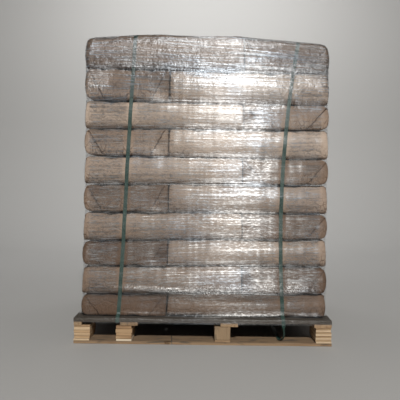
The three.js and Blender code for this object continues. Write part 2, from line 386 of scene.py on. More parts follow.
@dataclass(frozen=True)
class WoundFilm:
    """Clear stretch film, wound in many turns with streaks, ropes and trapped dust.

    The UV map holds metres along the turns and metres up the load. Its colour holds a painted reflection
    of a blue sky, in patches and more towards the top.
    """

    haze: Triple = (0.42, 0.415, 0.41)
    painted_sky_reflection: Triple = (0.38, 0.42, 0.47)
    least_cover: float = 0.07
    shine: float = 0.62
    helix: float = 0.022
    relief_depth: float = 0.0070

    def material(self) -> Material:
        """Builds the see-through material, which reads the bunch, clear and veil attributes."""
        recipe = Recipe("stretch_film")
        wind = recipe.uv_map("wind")
        bunch, clear, veil = (recipe.attribute(name) for name in ("bunch", "clear", "veil"))
        turns = (self.helix, -self.helix * 0.6, self.helix * 3.0)
        tilted, crossed, steep = (recipe.stretched(wind, (1.0, 1.0, 1.0), turn) for turn in turns)
        broad = recipe.noise(tilted, (1.6, 40.0, 1.0), 2.0, 0.55)
        streaks = recipe.noise(tilted, (10.0, 120.0, 1.0), 2.0, 0.6, 0.4)
        speck = recipe.noise(tilted, (60.0, 170.0, 1.0), 1.0, 0.6).band(0.46, 0.70)
        lines = recipe.noise(crossed, (2.5, 105.0, 1.0), 1.0, 0.5)
        thread = recipe.noise(crossed, (13.0, 150.0, 1.0), 2.0, 0.6, 0.3).band(0.44, 0.74)
        ropes = recipe.noise(steep, (2.2, 150.0, 1.0), 2.0, 0.6)
        crumple = recipe.noise(wind, 50.0, 5.0, 0.62, 0.8)
        clouds = recipe.noise(wind, (2.4, 5.0, 1.0), 2.0)
        swell = recipe.noise(wind, (9.0, 6.0, 1.0), 1.0)
        folds = recipe.noise(wind, (24.0, 4.0, 1.0), 1.0)
        calm = clouds.band(0.30, 0.62) * 0.5 + 0.5
        dark = lines.band(0.50, 0.68)
        cover = self.least_cover + broad.band(0.35, 0.8) * 0.08 + streaks.band(0.44, 0.74) * 0.16
        cover = cover + thread * calm * 0.38 + dark * 0.19 + speck * calm * (1.0 - veil * 0.5) * 0.36
        cover = cover + ropes.band(0.48, 0.62) * veil * 0.32 + ropes.band(0.56, 0.64) * bunch * 0.9
        alpha = (cover + bunch * 0.20 + clouds * 0.05).limit(0.05, 0.78) * (1.0 - clear * 0.9)
        relief = broad * 0.30 + lines * 0.20 + streaks * 0.05 + swell * 0.08 + folds * 0.12
        relief = relief + crumple * (bunch * 1.3 + 0.02)
        # painted reflection: the blue of a sky mixed into the film's colour, in patches and under the veil
        tint = recipe.noise(wind, (3.5, 8.0, 1.0), 2.0).band(0.45, 0.68)
        colour = recipe.mix((tint * 0.8 + veil * 0.4).limit(0.0, 1.0), self.haze, self.painted_sky_reflection)
        metallic = self.shine + speck * 0.3 + dark * 0.5 - thread * 0.55 + veil * 0.3
        return recipe.set(
            Base_Color=colour, Roughness=0.34 + clouds * 0.07, Alpha=alpha,
            Normal=recipe.bump(relief, self.relief_depth), Metallic=metallic.limit(0.0, 1.0),
            Anisotropic=1.0, Anisotropic_Rotation=0.25, Coat_Weight=0.3, Coat_Roughness=0.2,
        )


@dataclass(frozen=True)
class PalePaint:
    """The studio's plain pale floor."""

    colour: Triple = (0.42, 0.415, 0.405)

    def material(self) -> Material:
        """Builds the floor's material."""
        return Recipe("studio_floor").set(Base_Color=self.colour, Roughness=0.85)


# Mesh helpers


def points_of(mesh: Mesh) -> np.ndarray:
    """Reads a mesh's vertices.

    Args:
        mesh: the mesh.

    Returns:
        Rows of x, y, z.
    """
    flat = np.empty(len(mesh.vertices) * 3, np.float64)
    mesh.vertices.foreach_get("co", flat)
    return flat.reshape(-1, 3)


def move_points(mesh: Mesh, points: np.ndarray) -> None:
    """Puts a mesh's vertices at those rows of x, y, z."""
    mesh.vertices.foreach_set("co", points.astype(np.float64).ravel())
    mesh.update()


def painted(mesh: Mesh, name: str) -> np.ndarray:
    """Reads the numbers that a mesh stores for its vertices.

    Args:
        mesh: the mesh.
        name: the attribute's name.

    Returns:
        A number for each vertex.
    """
    values = np.empty(len(mesh.vertices), np.float32)
    mesh.attributes[name].data.foreach_get("value", values)
    return values


def paint(mesh: Mesh, name: str, values: np.ndarray) -> None:
    """Stores a number for each vertex, for the material to read."""
    layer = mesh.attributes.get(name) or mesh.attributes.new(name, "FLOAT", "POINT")
    layer.data.foreach_set("value", values.astype(np.float32))


def ease(value: np.ndarray, low: float, high: float) -> np.ndarray:
    """A smooth step from 0 at low to 1 at high."""
    share = np.clip((value - low) / (high - low), 0.0, 1.0)
    return share * share * (3.0 - 2.0 * share)


def pressed(points: np.ndarray, limits: np.ndarray, give: float) -> np.ndarray:
    """Presses points softly into a box.

    Args:
        points: rows of x, y, z.
        limits: half the box's size.
        give: how far inside the box the pressing starts, so that a faint relief stays.

    Returns:
        The pressed rows.
    """
    size = np.abs(points)
    start = limits - give
    inside = start + give * np.tanh(np.maximum(size - start, 0.0) / give)
    return np.sign(points) * np.where(size > start, inside, size)


def ripple(points: np.ndarray, wavelength: float, seed: int) -> np.ndarray:
    """A smooth field of rows from about -1 to 1, different along each axis.

    Args:
        points: rows of x, y, z.
        wavelength: how long its waves are.
        seed: a different field for each number.

    Returns:
        A row for each point.
    """
    draws = np.random.default_rng(seed)
    total = np.zeros_like(points)
    for _ in range(5):
        turn = draws.normal(size=(3, 3)) * (2.0 * math.pi / wavelength) * 0.6
        phase = draws.uniform(0.0, 2.0 * math.pi, 3)
        total += np.sin(points @ turn + phase)
    return total / 2.6


def resample(route: Line, step: float, closed: bool) -> list[tuple[float, float]]:
    """Adds points to a line.

    Args:
        route: its corners.
        step: how far apart points may be.
        closed: whether it runs back to its start.

    Returns:
        The corners and the points between them.
    """
    points = []
    following = [*route[1:], route[0]] if closed else route[1:]
    for start, end in zip(route, following):
        count = max(1, math.ceil(math.dist(start, end) / step))
        for i in range(count):
            share = i / count
            points.append(tuple(a + (b - a) * share for a, b in zip(start, end)))
    if not closed:
        points.append(tuple(route[-1]))
    return points


def publish(mesh: Mesh, name: str, material: Material, stands_for: Iterable[str]) -> Object:
    """Makes a finished mesh a piece of the object that rides on its one body.

    Args:
        mesh: the mesh, in place.
        name: the piece's name.
        material: that finish.
        stands_for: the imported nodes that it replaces.

    Returns:
        The piece.
    """
    piece = bpy.data.objects.new(name, mesh)
    bpy.context.scene.collection.objects.link(piece)
    mesh.materials.clear()
    mesh.materials.append(material)
    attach(piece, "root")
    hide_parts(*stands_for)
    log.info("%s: %d faces", name, len(mesh.polygons))
    return piece


def mesh_from(bm: BMesh, name: str, smooth: bool) -> Mesh:
    """Turns a bmesh into a mesh and frees it.

    Args:
        bm: the bmesh.
        name: the mesh's name.
        smooth: whether it is shaded smooth.

    Returns:
        The mesh.
    """
    for face in bm.faces:
        face.smooth = smooth
    mesh = bpy.data.meshes.new(name)
    bm.to_mesh(mesh)
    bm.free()
    return mesh


def cut_grid(bm: BMesh, axis: int, places: Iterable[float]) -> None:
    """Cuts a bmesh with planes square to an axis.

    Args:
        bm: the bmesh.
        axis: the axis.
        places: where on it each plane stands.
    """
    normal = Vector((0.0, 0.0, 0.0))
    normal[axis] = 1.0
    for place in places:
        everything = bm.verts[:] + bm.edges[:] + bm.faces[:]
        bmesh.ops.bisect_plane(bm, geom=everything, dist=1e-6, plane_co=normal * place, plane_no=normal)


# The settled stack


@dataclass
class SettledStack:
    """How the loaded stack has settled out of true, as a move of any point in it.

    Everything in the stack and round it goes through the same move, so nothing meets that didn't.
    The lifts are those of the levels between the layers, at the left and at the right. The rest sets in
    over the height start above the deck.
    """

    left_lift: tuple[float, ...] = (
        0.0, -0.009, -0.003, -0.010, 0.0, -0.003, 0.004, -0.001, 0.007, 0.007, 0.0,
    )
    right_lift: tuple[float, ...] = (
        0.0, 0.008, 0.002, 0.010, 0.0, 0.003, -0.005, 0.0, -0.008, -0.008, -0.008,
    )
    half_side: float = 0.527
    base_growth: float = 1.004
    top_growth: float = 0.988
    side_step: tuple[float, float] = (0.0035, 0.005)
    heave: float = 0.0022
    top_arch: tuple[float, float] = (0.010, 0.026)
    start: float = 0.05
    levels: list[float] = field(default_factory=list)

    def __post_init__(self) -> None:
        """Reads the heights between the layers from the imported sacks."""
        boxes = {node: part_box(node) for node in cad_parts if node.startswith("sack_")}
        tops = {node.split("_")[1]: high[2] for node, (_, high) in boxes.items()}
        self.levels = [min(low[2] for low, _ in boxes.values()), *(tops[key] for key in sorted(tops))]

    def move(self, points: np.ndarray) -> np.ndarray:
        """Moves points of the true stack to the settled one.

        Args:
            points: rows of x, y, z.

        Returns:
            The moved rows.
        """
        height = points[:, 2]
        part = ease(height, self.levels[0], self.levels[0] + self.start)
        rightness = np.clip(points[:, 0] / self.half_side, -1.0, 1.0) * 0.5 + 0.5
        lift = np.interp(height, self.levels, self.left_lift) * (1.0 - rightness)
        lift += np.interp(height, self.levels, self.right_lift) * rightness
        growth, step = self._spread(height)
        side = np.abs(points[:, :2]) / self.half_side
        fall = np.maximum(np.abs(points[:, 0] + 0.05) / self.half_side, side[:, 1] * 0.35)
        lift += ease(height, *self.levels[-2:]) * (self.top_arch[0] - self.top_arch[1] * fall * fall)
        moved = points.copy()
        moved[:, :2] *= growth[:, None]
        moved[:, 0] += step
        moved[:, 2] += lift
        moved += ripple(points, 0.62, 11) * self.heave * part[:, None]
        return moved

    def _spread(self, height: np.ndarray) -> tuple[np.ndarray, np.ndarray]:
        """How far the stack has spread.

        Args:
            height: heights in the true stack.

        Returns:
            How far each height is scaled outwards, and moved sideways.
        """
        deck, top = self.levels[0], self.levels[-1]
        part = ease(height, deck, deck + self.start)
        climb = np.clip((height - deck) / (top - deck), 0.0, 1.0)
        growth = 1.0 + part * (self.base_growth + (self.top_growth - self.base_growth) * climb - 1.0)
        return growth, part * (self.side_step[0] + (self.side_step[1] - self.side_step[0]) * climb)

    def true_place(self, across: np.ndarray, height: np.ndarray) -> np.ndarray:
        """The place across the true stack of what is seen at some place across the settled one."""
        growth, step = self._spread(height)
        return (across - step) / growth


# Sacks


@dataclass
class SackMould:
    """A filled sack on its own, swollen by a cloth simulation and folded at its ends.

    The sack lies along X round the origin, its outer side facing +Y and its inner side pressed flat by
    the next sack. Every mould has the same nominal size. The bulges are given for above and below the
    belly, its widest level, and the dents for broad and fine ones.
    """

    length: float = 0.672
    width: float = 0.366
    height: float = 0.118
    cell: float = 0.011
    side_bulge: tuple[float, float] = (0.018, 0.023)
    end_bulge: tuple[float, float] = (0.012, 0.006)
    inner_share: float = 0.30
    fullness: float = 2.5
    belly: float = -0.2
    corner_radius: float = 0.011
    pressure: float = 3.0
    slack: float = 0.03
    stiffness: float = 0.8
    steps: int = 20
    flap_top: float = 0.93
    flap_foot: float = 0.42
    flap_rise: float = 0.92
    flap_step: float = 0.0022
    crease_width: float = 0.0035
    give: float = 0.010
    barrel: float = 0.011
    end_lean: float = 0.006
    filled: float = 22.0
    dents: tuple[float, float] = (0.0012, 0.0009)
    end_band: float = 0.014
    flap_lean: float = 0.012
    line_reach: float = 0.0003

    def blank(self) -> Mesh:
        """A closed grid of square cells in the sack's nominal box."""
        bm = bmesh.new()
        bmesh.ops.create_cube(bm, size=2.0)
        for axis, size in enumerate((self.length, self.width, self.height)):
            edges = [e for e in bm.edges if abs(e.verts[0].co[axis] - e.verts[1].co[axis]) > 1.0]
            cuts = round(size / self.cell) - 1
            bmesh.ops.subdivide_edges(bm, edges=edges, cuts=cuts, use_grid_fill=True)
        return mesh_from(bm, "sack_blank", True)

    def rounded(self, unit: np.ndarray) -> np.ndarray:
        """Rounds a box from -1 to 1 into the sack's plain shape.

        Args:
            unit: the box's points.

        Returns:
            Rows of metres.
        """
        level = np.clip(unit[:, 2], -1.0, 1.0)
        over = level > self.belly
        above, below = (level - self.belly) / (1 - self.belly), (self.belly - level) / (1 + self.belly)
        away = np.minimum(np.where(over, above, below), 1.0)
        inset = 1.0 - (1.0 - away ** self.fullness) ** (1.0 / self.fullness)
        flatter = np.where(unit[:, 1] < 0.0, self.inner_share, 1.0)
        half_length = self.length / 2 - inset * np.where(over, *self.end_bulge)
        half_width = self.width / 2 - inset * np.where(over, *self.side_bulge) * flatter
        half = np.stack([half_length, half_width], axis=1)
        plan = unit[:, :2] * half
        core = np.clip(plan, self.corner_radius - half, half - self.corner_radius)
        out = plan - core
        reach = np.linalg.norm(out, axis=1)
        corner = (reach > 1e-9) & (np.abs(out).min(axis=1) > 1e-9)
        shrink = np.where(corner, np.abs(out).max(axis=1) / np.maximum(reach, 1e-9), 1.0)
        return np.column_stack([core + out * shrink[:, None], level * self.height / 2])

    def swollen(self, seed: int) -> Mesh:
        """Swells the rounded sack with a short cloth simulation.

        Args:
            seed: a different sack for each number.

        Returns:
            The swollen mesh, clipped to the sack's nominal box as its neighbours press it.
        """
        mesh = self.blank()
        plain = self.rounded(points_of(mesh))
        broad, fine = ripple(plain, 0.10, seed), ripple(plain, 0.035, seed + 40)
        move_points(mesh, plain + broad * self.dents[0] + fine * self.dents[1])
        mesh = self._simulate(mesh, plain)
        points = points_of(mesh)
        limits = np.array([self.length, self.width, self.height]) / 2
        for axis in (0, 1):
            ends = np.abs(plain[:, axis]) > limits[axis] - self.end_band
            points[:, axis] *= limits[axis] / np.percentile(np.abs(points[ends, axis]), self.filled)
        points = np.clip(pressed(points, limits, self.give), -limits, limits)
        level = points[:, 2] / limits[2]
        points[:, 1] -= self.barrel * (level - 0.05) ** 2 * np.clip(points[:, 1] / limits[1], 0.0, 1.0)
        points[:, 0] *= 1.0 - self.end_lean * (level + 1.0) / 2.0 / limits[0]
        move_points(mesh, points)
        return mesh

    def _simulate(self, mesh: Mesh, plain: np.ndarray) -> Mesh:
        """Runs the cloth on a mesh whose broad faces are held.

        Args:
            mesh: the sack before it swells.
            plain: its plain shape, from which the held points are chosen.

        Returns:
            The swollen mesh, with the sharp tips at its corners smoothed away.
        """
        scene = bpy.context.scene
        cloth_piece = bpy.data.objects.new("swelling_sack", mesh)
        scene.collection.objects.link(cloth_piece)
        inside = np.abs(plain) < np.array([self.length / 2 - 0.07, self.width / 2 - 0.06, np.inf])
        held = inside.all(axis=1) & (np.abs(plain[:, 2]) > self.height * 0.45)
        pins = cloth_piece.vertex_groups.new(name="held")
        pins.add(np.nonzero(held)[0].tolist(), 1.0, "REPLACE")
        modifier = cloth_piece.modifiers.new("Cloth", "CLOTH")
        settings = {
            "quality": 5, "mass": 0.3, "tension_stiffness": 40, "compression_stiffness": 40,
            "shear_stiffness": 20, "bending_stiffness": self.stiffness, "use_pressure": True,
            "uniform_pressure_force": self.pressure, "shrink_min": -self.slack,
            "vertex_group_mass": "held", "air_damping": 2,
        }
        for key, value in settings.items():
            setattr(modifier.settings, key, value)
        modifier.settings.effector_weights.gravity = 0
        modifier.collision_settings.use_collision = False
        modifier.point_cache.frame_start = 1
        modifier.point_cache.frame_end = self.steps
        for step in range(1, self.steps + 1):
            scene.frame_set(step)
        graph = bpy.context.evaluated_depsgraph_get()
        result = bpy.data.meshes.new_from_object(cloth_piece.evaluated_get(graph))
        bpy.data.objects.remove(cloth_piece)
        scene.frame_set(1)
        bm = bmesh.new()
        bm.from_mesh(result)
        ways = {"use_axis_x": True, "use_axis_y": True, "use_axis_z": True}
        bmesh.ops.smooth_vert(bm, verts=bm.verts[:], factor=0.35, **ways)
        bm.to_mesh(result)
        bm.free()
        return result

    def folded(self, seed: int) -> Mesh:
        """Adds the gift-wrap fold of each end to a swollen sack.

        A flap narrows from the top edge of the end to its foot, over a triangular ear at each side.

        Args:
            seed: a different sack for each number.

        Returns:
            The finished mould, with its tone, fold and belly attributes; the tone holds painted shade under
            the belly and at the top of each end, and the fold marks lines that the paper darkens as painted
            shade.
        """
        mesh = self.swollen(seed)
        draws = np.random.default_rng(seed)
        bm = bmesh.new()
        bm.from_mesh(mesh)
        for name in ("tone", "fold", "belly"):
            bm.verts.layers.float.new(name)
        for end in (-1.0, 1.0):
            top = self.flap_top * draws.uniform(0.93, 1.04) * self.width / 2
            foot = self.flap_foot * draws.uniform(0.75, 1.3) * self.width / 2
            self._fold_end(bm, end, top, foot, draws.uniform(-self.flap_lean, self.flap_lean))
        tone, belly = (bm.verts.layers.float[name] for name in ("tone", "belly"))
        for vert in bm.verts:
            level = vert.co.z / (self.height / 2)
            along = abs(vert.co.x) * 2.0 / self.length
            at_end = max(0.0, along - 0.93) / 0.07
            # painted shade: darker towards the underside of the belly, away from the ends
            vert[tone] -= 0.12 * max(0.0, -level - 0.35) / 0.65 * (1.0 - at_end)
            # painted shadow: darker towards the top of each end face, under the layer above
            vert[tone] -= 0.22 * max(0.0, level + 0.3) / 1.3 * min(1.0, at_end)
            vert[belly] = min(1.0, max(0.0, 0.35 - level)) * max(0.0, along - 0.62) / 0.38
        return mesh_from(bm, f"sack_mould_{seed}", True)

    def _end_faces(self, bm: BMesh, end: float) -> list[BMFace]:
        """The faces of one end that face outwards."""
        near = self.length / 2 - 0.02
        return [f for f in bm.faces if f.calc_center_median().x * end > near and f.normal.x * end > 0.35]

    def _fold_end(self, bm: BMesh, end: float, top: float, foot: float, lean: float) -> None:
        """Cuts one end along the flap's two slanting edges and raises the flap between them.

        Args:
            bm: the sack.
            end: -1 or 1 along X.
            top: half the flap's width at the top edge.
            foot: half its width at the foot.
            lean: how far its foot is shifted aside.
        """
        tone, fold = (bm.verts.layers.float[name] for name in ("tone", "fold"))
        low = -self.height * 0.5
        flap_end = low + self.height * self.flap_rise
        slants = []
        for side in (-1.0, 1.0):
            start = Vector((0.0, side * foot + lean, low))
            finish = Vector((0.0, side * top, flap_end))
            slants.append((start, Vector((1.0, 0.0, 0.0)).cross(finish - start).normalized() * side))
        near = self._end_faces(bm, end)
        for start, normal in slants:
            for offset in (0.0, self.crease_width):
                near = [f for f in near if f.is_valid]
                geometry = set(near)
                for face in near:
                    geometry.update(face.edges)
                    geometry.update(face.verts)
                plane = {"plane_co": start + normal * offset, "plane_no": normal}
                cut = bmesh.ops.bisect_plane(bm, geom=list(geometry), dist=1e-5, **plane)
                near = [item for item in cut["geom"] if isinstance(item, BMFace)]
        flap = []
        for face in self._end_faces(bm, end):
            centre = face.calc_center_median()
            outside = max((centre - start).dot(-normal) for start, normal in slants)
            if outside < 0.0 and centre.z < flap_end:
                flap.append(face)
        raised = bmesh.ops.extrude_face_region(bm, geom=flap, use_keep_orig=False)
        for vert in (item for item in raised["geom"] if isinstance(item, BMVert)):
            vert.co.x += end * self.flap_step
            vert[tone] = -0.10
        bmesh.ops.delete(bm, geom=[f for f in flap if f.is_valid], context="FACES_ONLY")
        # fold marks the flap's cut lines, where the paper is darkened as painted shade
        for vert in bm.verts:
            if vert.co.x * end > self.length / 2 - 0.03 and vert.co.z < flap_end + 0.002:
                gaps = [abs((vert.co - start).dot(normal)) for start, normal in slants]
                vert[fold] = max(vert[fold], float(min(gaps) < self.line_reach))


@dataclass
class SackLoad:
    """The forty sacks, each from one of a few moulds, turned and squashed into its packed place.

    Sacks seen from their ends stand back by end_recess in odd layers, all others by side_recess. The
    tones are each layer's, from the deck up, for sacks seen from their ends and from their sides. Besides
    tone that differs from layer to layer, they hold painted shade: darker towards the deck, and darker on
    the sacks seen from their ends.
    """

    stack: SettledStack
    mould_seeds: tuple[int, ...] = (3, 8, 14, 21, 30)
    clearance: float = 0.0004
    end_recess: float = 0.007
    side_recess: float = 0.003
    meeting: float = 0.0015
    crown: float = 0.006
    end_droop: float = 0.010
    top_heave: float = 0.0022
    tone_spread: float = 0.08
    end_on_tone_and_shade: tuple[float, ...] = (-0.38, -0.08, 0.04, 0.23, 0.40, 0.48, 0.74, 0.52, 0.64, 0.42)
    side_on_tone_and_shade: tuple[float, ...] = (0.18, 0.44, 0.56, 0.59, 0.72, 0.85, 0.87, 0.87, 0.85, 0.48)

    def build(self, material: Material) -> list[Object]:
        """Makes every sack.

        Args:
            material: the paper.

        Returns:
            The sacks.
        """
        moulds = [SackMould().folded(seed) for seed in self.mould_seeds]
        pieces = []
        for index, node in enumerate(sorted(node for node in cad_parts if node.startswith("sack_"))):
            mesh = moulds[(index * 3 + index // 7) % len(moulds)].copy()
            mesh.name = f"paper_{node}"
            self._place(mesh, node, index)
            piece = publish(mesh, mesh.name, material, [node])
            pieces.append(piece)
        for mould in moulds:
            bpy.data.meshes.remove(mould)
        return pieces

    def _place(self, mesh: Mesh, node: str, index: int) -> None:
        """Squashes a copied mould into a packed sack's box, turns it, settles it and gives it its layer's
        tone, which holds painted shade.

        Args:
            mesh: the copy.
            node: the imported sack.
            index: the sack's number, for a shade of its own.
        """
        draws = np.random.default_rng(500 + index)
        layer = int(node.split("_")[1])
        is_top = layer == len(self.end_on_tone_and_shade)
        low, high = (np.array(corner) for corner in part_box(node))
        across = (high - low)[1] > (high - low)[0]
        axis = 1 if across else 0
        outer_end = math.copysign(1.0, (low + high)[axis])
        recess = self.end_recess if across and layer % 2 == 1 else self.side_recess
        outer = self.stack.half_side - recess
        if outer_end < 0:
            low[axis] = -outer
            high[axis] += self.meeting
        else:
            high[axis] = outer
            low[axis] -= self.meeting
        size = high - low
        height = size[2] - (self.crown if is_top else 0.0)
        centre = (low + high) / 2
        centre[2] = low[2] + height / 2
        nominal = np.array([SackMould.length, SackMould.width, SackMould.height])
        filled = np.array([max(size[:2]), min(size[:2]), height]) - 2 * self.clearance
        points = points_of(mesh) * (filled / nominal)
        points[:, :2] *= -math.copysign(1.0, centre[0]) if across else math.copysign(1.0, centre[1])
        points = self._end_pressed(points, -outer_end)
        if is_top:
            points = self._crowned(points, height, outer_end)
        if across:
            points = points[:, [1, 0, 2]] * np.array([-1.0, 1.0, 1.0])
        move_points(mesh, self.stack.move(points + centre))
        # the layer's tone, with painted shade low down and on the sacks seen from their ends
        tone = (self.end_on_tone_and_shade if across else self.side_on_tone_and_shade)[layer - 1]
        own = draws.uniform(-self.tone_spread, self.tone_spread)
        paint(mesh, "tone", painted(mesh, "tone") + own + tone)

    @staticmethod
    def _end_pressed(points: np.ndarray, end: float) -> np.ndarray:
        """Presses one end flat against the next sack, so that its rounding almost goes.

        Args:
            points: the sack's points round the origin.
            end: the sign of that end along X.

        Returns:
            The moved points.
        """
        reach = np.abs(points[:, 0]).max()
        share = np.clip((points[:, 0] * end / reach - 0.9) / 0.1, 0.0, 1.0)
        pressed_end = points.copy()
        pressed_end[:, 0] += end * reach * 0.1 * 0.95 * share * (1.0 - share)
        return pressed_end

    def _crowned(self, points: np.ndarray, height: float, outer: float) -> np.ndarray:
        """Lets the top of an uncovered sack dome up in the middle and drop at its outer end.

        Args:
            points: the sack's points round the origin.
            height: how high it is.
            outer: the sign of its outer end along X.

        Returns:
            The moved points.
        """
        reach = np.abs(points).max(axis=0)
        along = np.abs(points[:, 0]) / reach[0]
        aside = np.abs(points[:, 1]) / reach[1]
        share = np.clip(points[:, 2] / (height / 2), -1.0, 1.0) * 0.5 + 0.5
        dome = self.crown * (1.0 - ease(aside, 0.3, 1.0)) * (1.0 - ease(along, 0.5, 0.95))
        droop = self.end_droop * ease(points[:, 0] * outer / reach[0], 0.55, 1.02)
        crowned = points.copy()
        crowned[:, 2] += (dome - droop) * share ** 1.5
        crowned[:, 2] += ripple(points, 0.16, 77)[:, 2] * self.top_heave * share
        return crowned


class Probe:
    """Measures how far a ray goes before it meets any of some pieces."""

    def __init__(self, pieces: Sequence[Object], reach: float) -> None:
        """Prepares the pieces.

        Args:
            pieces: what the rays may meet.
            reach: the longest distance that matters.
        """
        graph = bpy.context.evaluated_depsgraph_get()
        self.reach = reach
        self.trees = [BVHTree.FromObject(piece, graph) for piece in pieces]
        clouds = [points_of(piece.data) for piece in pieces]
        self.lows = np.array([cloud.min(axis=0) for cloud in clouds]) - reach
        self.highs = np.array([cloud.max(axis=0) for cloud in clouds]) + reach

    def room(self, place: np.ndarray, outward: np.ndarray) -> float:
        """How far in a skin could go.

        Args:
            place: a place on it.
            outward: the way out there.

        Returns:
            The distance, less than nothing where the skin would have to go out.
        """
        start = Vector(place + outward * self.reach)
        way = Vector(-outward)
        best = 2.0 * self.reach
        near = np.all((place > self.lows) & (place < self.highs), axis=1)
        for index in np.nonzero(near)[0]:
            distance = self.trees[index].ray_cast(start, way, best)[3]
            if distance is not None:
                best = min(best, distance)
        return best - self.reach


# Straps


@dataclass
class StrapRoute:
    """A strap's closed way round the load, drawn as distance from the middle and height.

    The loop's and twist's ranges are the depths and heights over which they come in on a slack strap.
    """

    name: str
    node: str
    lean: Callable[[np.ndarray], np.ndarray]
    slack: bool
    width: float = 0.016
    thickness: float = 0.0008
    step: float = 0.012
    drop_width: float = 0.050
    drop_steps: int = 8
    loop_reach: float = 0.018
    loop_depths: tuple[float, float] = (0.545, 0.50)
    loop_heights: tuple[float, float] = (0.085, 0.03)
    twist: float = 0.95
    twist_depths: tuple[float, float] = (0.505, 0.540)
    twist_heights: tuple[float, float] = (0.090, 0.070)
    foot: float = 0.002
    clearance: float = 0.0002
    pull: float = 0.00025
    rounds: int = 1500

    def outline(self, winding: Line, under: float, low: float) -> list[tuple[float, float]]:
        """The front half of the way, from the middle of the underside to the middle of the top.

        Args:
            winding: the line up the load's side, from the deck's edge.
            under: the height of the deck's underside.
            low: the height at which a slack strap lies.

        Returns:
            Points as distance from the middle and height.
        """
        edge = winding[0][0]
        if not self.slack:
            return [(0.0, under), (edge, under), *winding]
        angles = [step / self.drop_steps * math.pi / 2 for step in range(self.drop_steps + 1)]
        curve = [
            (edge - self.drop_width * (1 - math.sin(angle)), low + (under - low) * (1 - math.cos(angle)))
            for angle in angles
        ]
        return [(0.0, low), *curve, *winding]

    def build(self, half: Line, stack: SettledStack, probe: Probe, material: Material) -> Object:
        """Makes the strap as a thin closed band.

        Args:
            half: the front half of the way.
            stack: how the load has settled.
            probe: the sacks that the strap is pulled tight over.
            material: the strapping.

        Returns:
            The strap.
        """
        route = [(-r, z) for r, z in half] + [(r, z) for r, z in reversed(half[1:])]
        line = np.array(resample(route, self.step, closed=True))
        mesh = self._band(line)
        points = points_of(mesh)
        across = points[:, 0].copy()
        points[:, 0] += stack.true_place(self.lean(points[:, 2]), points[:, 2])
        if self.slack:
            depth = ease(-points[:, 1], *self.loop_depths) * ease(points[:, 2], *self.loop_heights)
            points[:, 0] -= self.loop_reach * depth * (points[:, 1] < 0)
            turn = self.twist * ease(np.abs(points[:, 1]), *self.twist_depths)
            turn *= ease(points[:, 2], *self.twist_heights)
            points[:, 1] += across * np.sin(turn)
            points[:, 0] -= across * (1.0 - np.cos(turn))
        inward = self._tightened(line, stack, probe)
        nearest = np.linalg.norm(points[:, None, 1:] - line[None], axis=2).argmin(axis=1)
        moved = stack.move(points)
        moved[:, 1:] += inward[nearest]
        move_points(mesh, moved)
        return publish(mesh, self.name, material, [self.node])

    def _band(self, line: np.ndarray) -> Mesh:
        """Makes a closed band, with its length and width laid out as a UV map.

        Args:
            line: its points as depth and height.

        Returns:
            The band, straight across the front.
        """
        bm = bmesh.new()
        verts = [bm.verts.new((-self.width / 2, y, z)) for y, z in line]
        edges = [bm.edges.new((a, b)) for a, b in zip(verts, verts[1:] + verts[:1])]
        wide = bmesh.ops.extrude_edge_only(bm, edges=edges)
        shifted = [item for item in wide["geom"] if isinstance(item, BMVert)]
        bmesh.ops.translate(bm, verts=shifted, vec=(self.width, 0.0, 0.0))
        bmesh.ops.recalc_face_normals(bm, faces=bm.faces[:])
        bm.verts.index_update()
        uv = bm.loops.layers.uv.new("strap")
        lengths = [0.0, *np.cumsum(np.linalg.norm(np.diff(line, axis=0), axis=1))]
        for face in bm.faces:
            marks = [loop.vert.index % len(line) for loop in face.loops]
            wraps = max(marks) - min(marks) > 1
            for loop, mark in zip(face.loops, marks):
                along = lengths[mark] + (lengths[-1] + self.step if wraps and mark == 0 else 0.0)
                loop[uv].uv = (along, loop.vert.co.x)
        bmesh.ops.solidify(bm, geom=bm.faces[:], thickness=-self.thickness)
        return mesh_from(bm, self.name, False)

    def _tightened(self, line: np.ndarray, stack: SettledStack, probe: Probe) -> np.ndarray:
        """Pulls the line tight over the sacks.

        Args:
            line: its points as depth and height.
            stack: how the load has settled.
            probe: the sacks.

        Returns:
            How each point moves in depth and height.
        """
        along = np.roll(line, -1, axis=0) - np.roll(line, 1, axis=0)
        along /= np.linalg.norm(along, axis=1)[:, None]
        out = np.column_stack([-along[:, 1], along[:, 0]])
        centre = np.array([0.0, line[:, 1].mean()])
        out *= np.sign(((line - centre) * out).sum(axis=1))[:, None]
        across = stack.true_place(self.lean(line[:, 1]), line[:, 1])
        places = stack.move(np.column_stack([across, line]))
        free = line[:, 1] > stack.levels[0] + self.foot
        room = np.zeros(len(line))
        for index in np.nonzero(free)[0]:
            outward = np.array([0.0, *out[index]])
            edges = (-self.width / 2, 0.0, self.width / 2)
            spots = [places[index] + np.array([edge, 0.0, 0.0]) for edge in edges]
            room[index] = min(probe.room(spot, outward) for spot in spots) - self.clearance
        depth = np.minimum(room, 0.0)
        for _ in range(self.rounds):
            middle = (np.roll(depth, 1) + np.roll(depth, -1)) / 2 + self.pull
            depth = np.where(free, np.minimum(room, middle), 0.0)
        return -out * depth[:, None]


# Film


@dataclass(frozen=True)
class Gather:
    """A place on the front where the film is bunched up, or lies clear.

    Its lift is how far a ridge of film stands out there, and its slant how fast it climbs to the right.
    """

    across: float
    height: float
    wide: float
    tall: float
    amount: float
    lift: float = 0.0
    slant: float = 0.0

    def strength(self, points: np.ndarray, front: float) -> np.ndarray:
        """How much each point is part of it.

        Args:
            points: rows of x, y, z.
            front: how far forward of the middle it lies.

        Returns:
            A number from 0 to its amount for each point.
        """
        gap = points - np.array([self.across, -front, self.height])
        gap[:, 2] -= gap[:, 0] * self.slant
        gap /= np.array([self.wide, 0.06, self.tall])
        return self.amount * np.exp(-(gap * gap).sum(axis=1))


